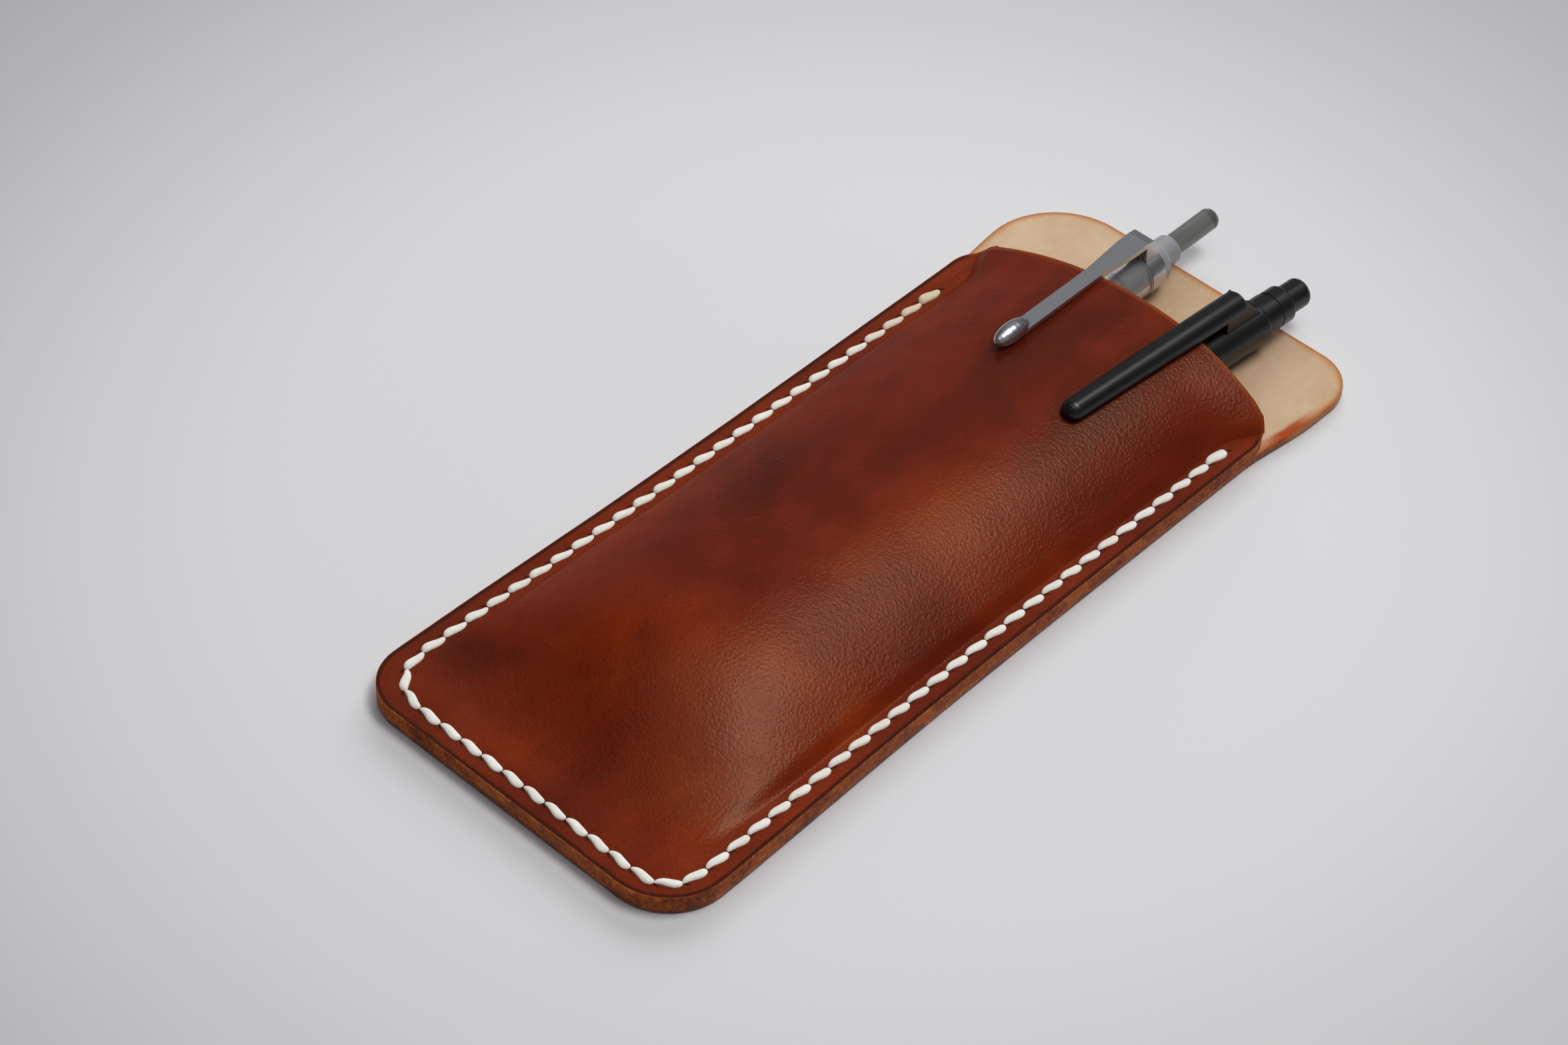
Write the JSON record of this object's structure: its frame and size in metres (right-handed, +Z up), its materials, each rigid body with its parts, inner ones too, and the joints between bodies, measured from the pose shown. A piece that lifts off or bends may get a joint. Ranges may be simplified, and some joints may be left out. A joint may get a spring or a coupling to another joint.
{
  "type": "pen sleeve",
  "caption": "Stitched leather pen sleeve, open at one end, holding click pens whose clips ride outside the front panel.",
  "frame": {"origin": "middle of the back panel's outer face, on which the sleeve lies", "axes": "+X across the sleeve to the right, +Y from the closed end to the mouth, +Z up out of the front panel"},
  "size_m": [0.064, 0.1622, 0.0153],
  "materials": {
    "front_leather": "hand-dyed mottled reddish brown with a soft polish",
    "back_leather": "bare tan flesh side, dyed reddish brown outside and at the rim",
    "thread": "flat waxed off-white thread",
    "silver_metal": "polished metal",
    "clear_plastic": "clear glossy plastic",
    "pale_plastic": "pale grey glossy plastic",
    "smoke_plastic": "smoke-grey see-through plastic",
    "grip_rubber": "matte ribbed rubber",
    "black_plastic": "satin black plastic",
    "cam_plastic": "white moulded plastic",
    "refill": "ink tube with a metal point",
    "spring_steel": "drawn wire"
  },
  "bodies": {
    "sleeve": {"back_panel": "back_leather", "front_panel": "front_leather", "thread": "thread"},
    "silver_pen": {"silver_nose_cone": "silver_metal", "silver_grip": "grip_rubber", "silver_barrel": "clear_plastic", "silver_collar": "pale_plastic", "silver_clip": "silver_metal"},
    "silver_click": {"silver_button": "smoke_plastic", "silver_cam": "cam_plastic", "silver_refill": "refill", "silver_spring": "spring_steel"},
    "black_pen": {"black_nose_cone": "black_plastic", "black_grip": "grip_rubber", "black_barrel": "black_plastic", "black_collar": "black_plastic", "black_clip": "black_plastic"},
    "black_click": {"black_knob": "black_plastic", "black_cam": "cam_plastic", "black_refill": "refill", "black_spring": "spring_steel"}
  },
  "joints": [
    {"name": "silver_pen_draw", "type": "slide", "parent": "sleeve", "child": "silver_pen", "axis": [0, 1, 0], "range_m": [0, 0.132]},
    {"name": "silver_button_press", "type": "slide", "parent": "silver_pen", "child": "silver_click", "axis": [0, -1, 0], "range_m": [0, 0.0035], "stiffness_N_per_m": 150, "springref_m": -0.002, "deforming": ["silver_spring"]},
    {"name": "black_pen_draw", "type": "slide", "parent": "sleeve", "child": "black_pen", "axis": [0.0698, 0.9976, 0], "range_m": [0, 0.132]},
    {"name": "black_knob_press", "type": "slide", "parent": "black_pen", "child": "black_click", "axis": [-0.0698, -0.9976, 0], "range_m": [0, 0.0026], "stiffness_N_per_m": 150, "springref_m": -0.002, "deforming": ["black_spring"]}
  ]
}
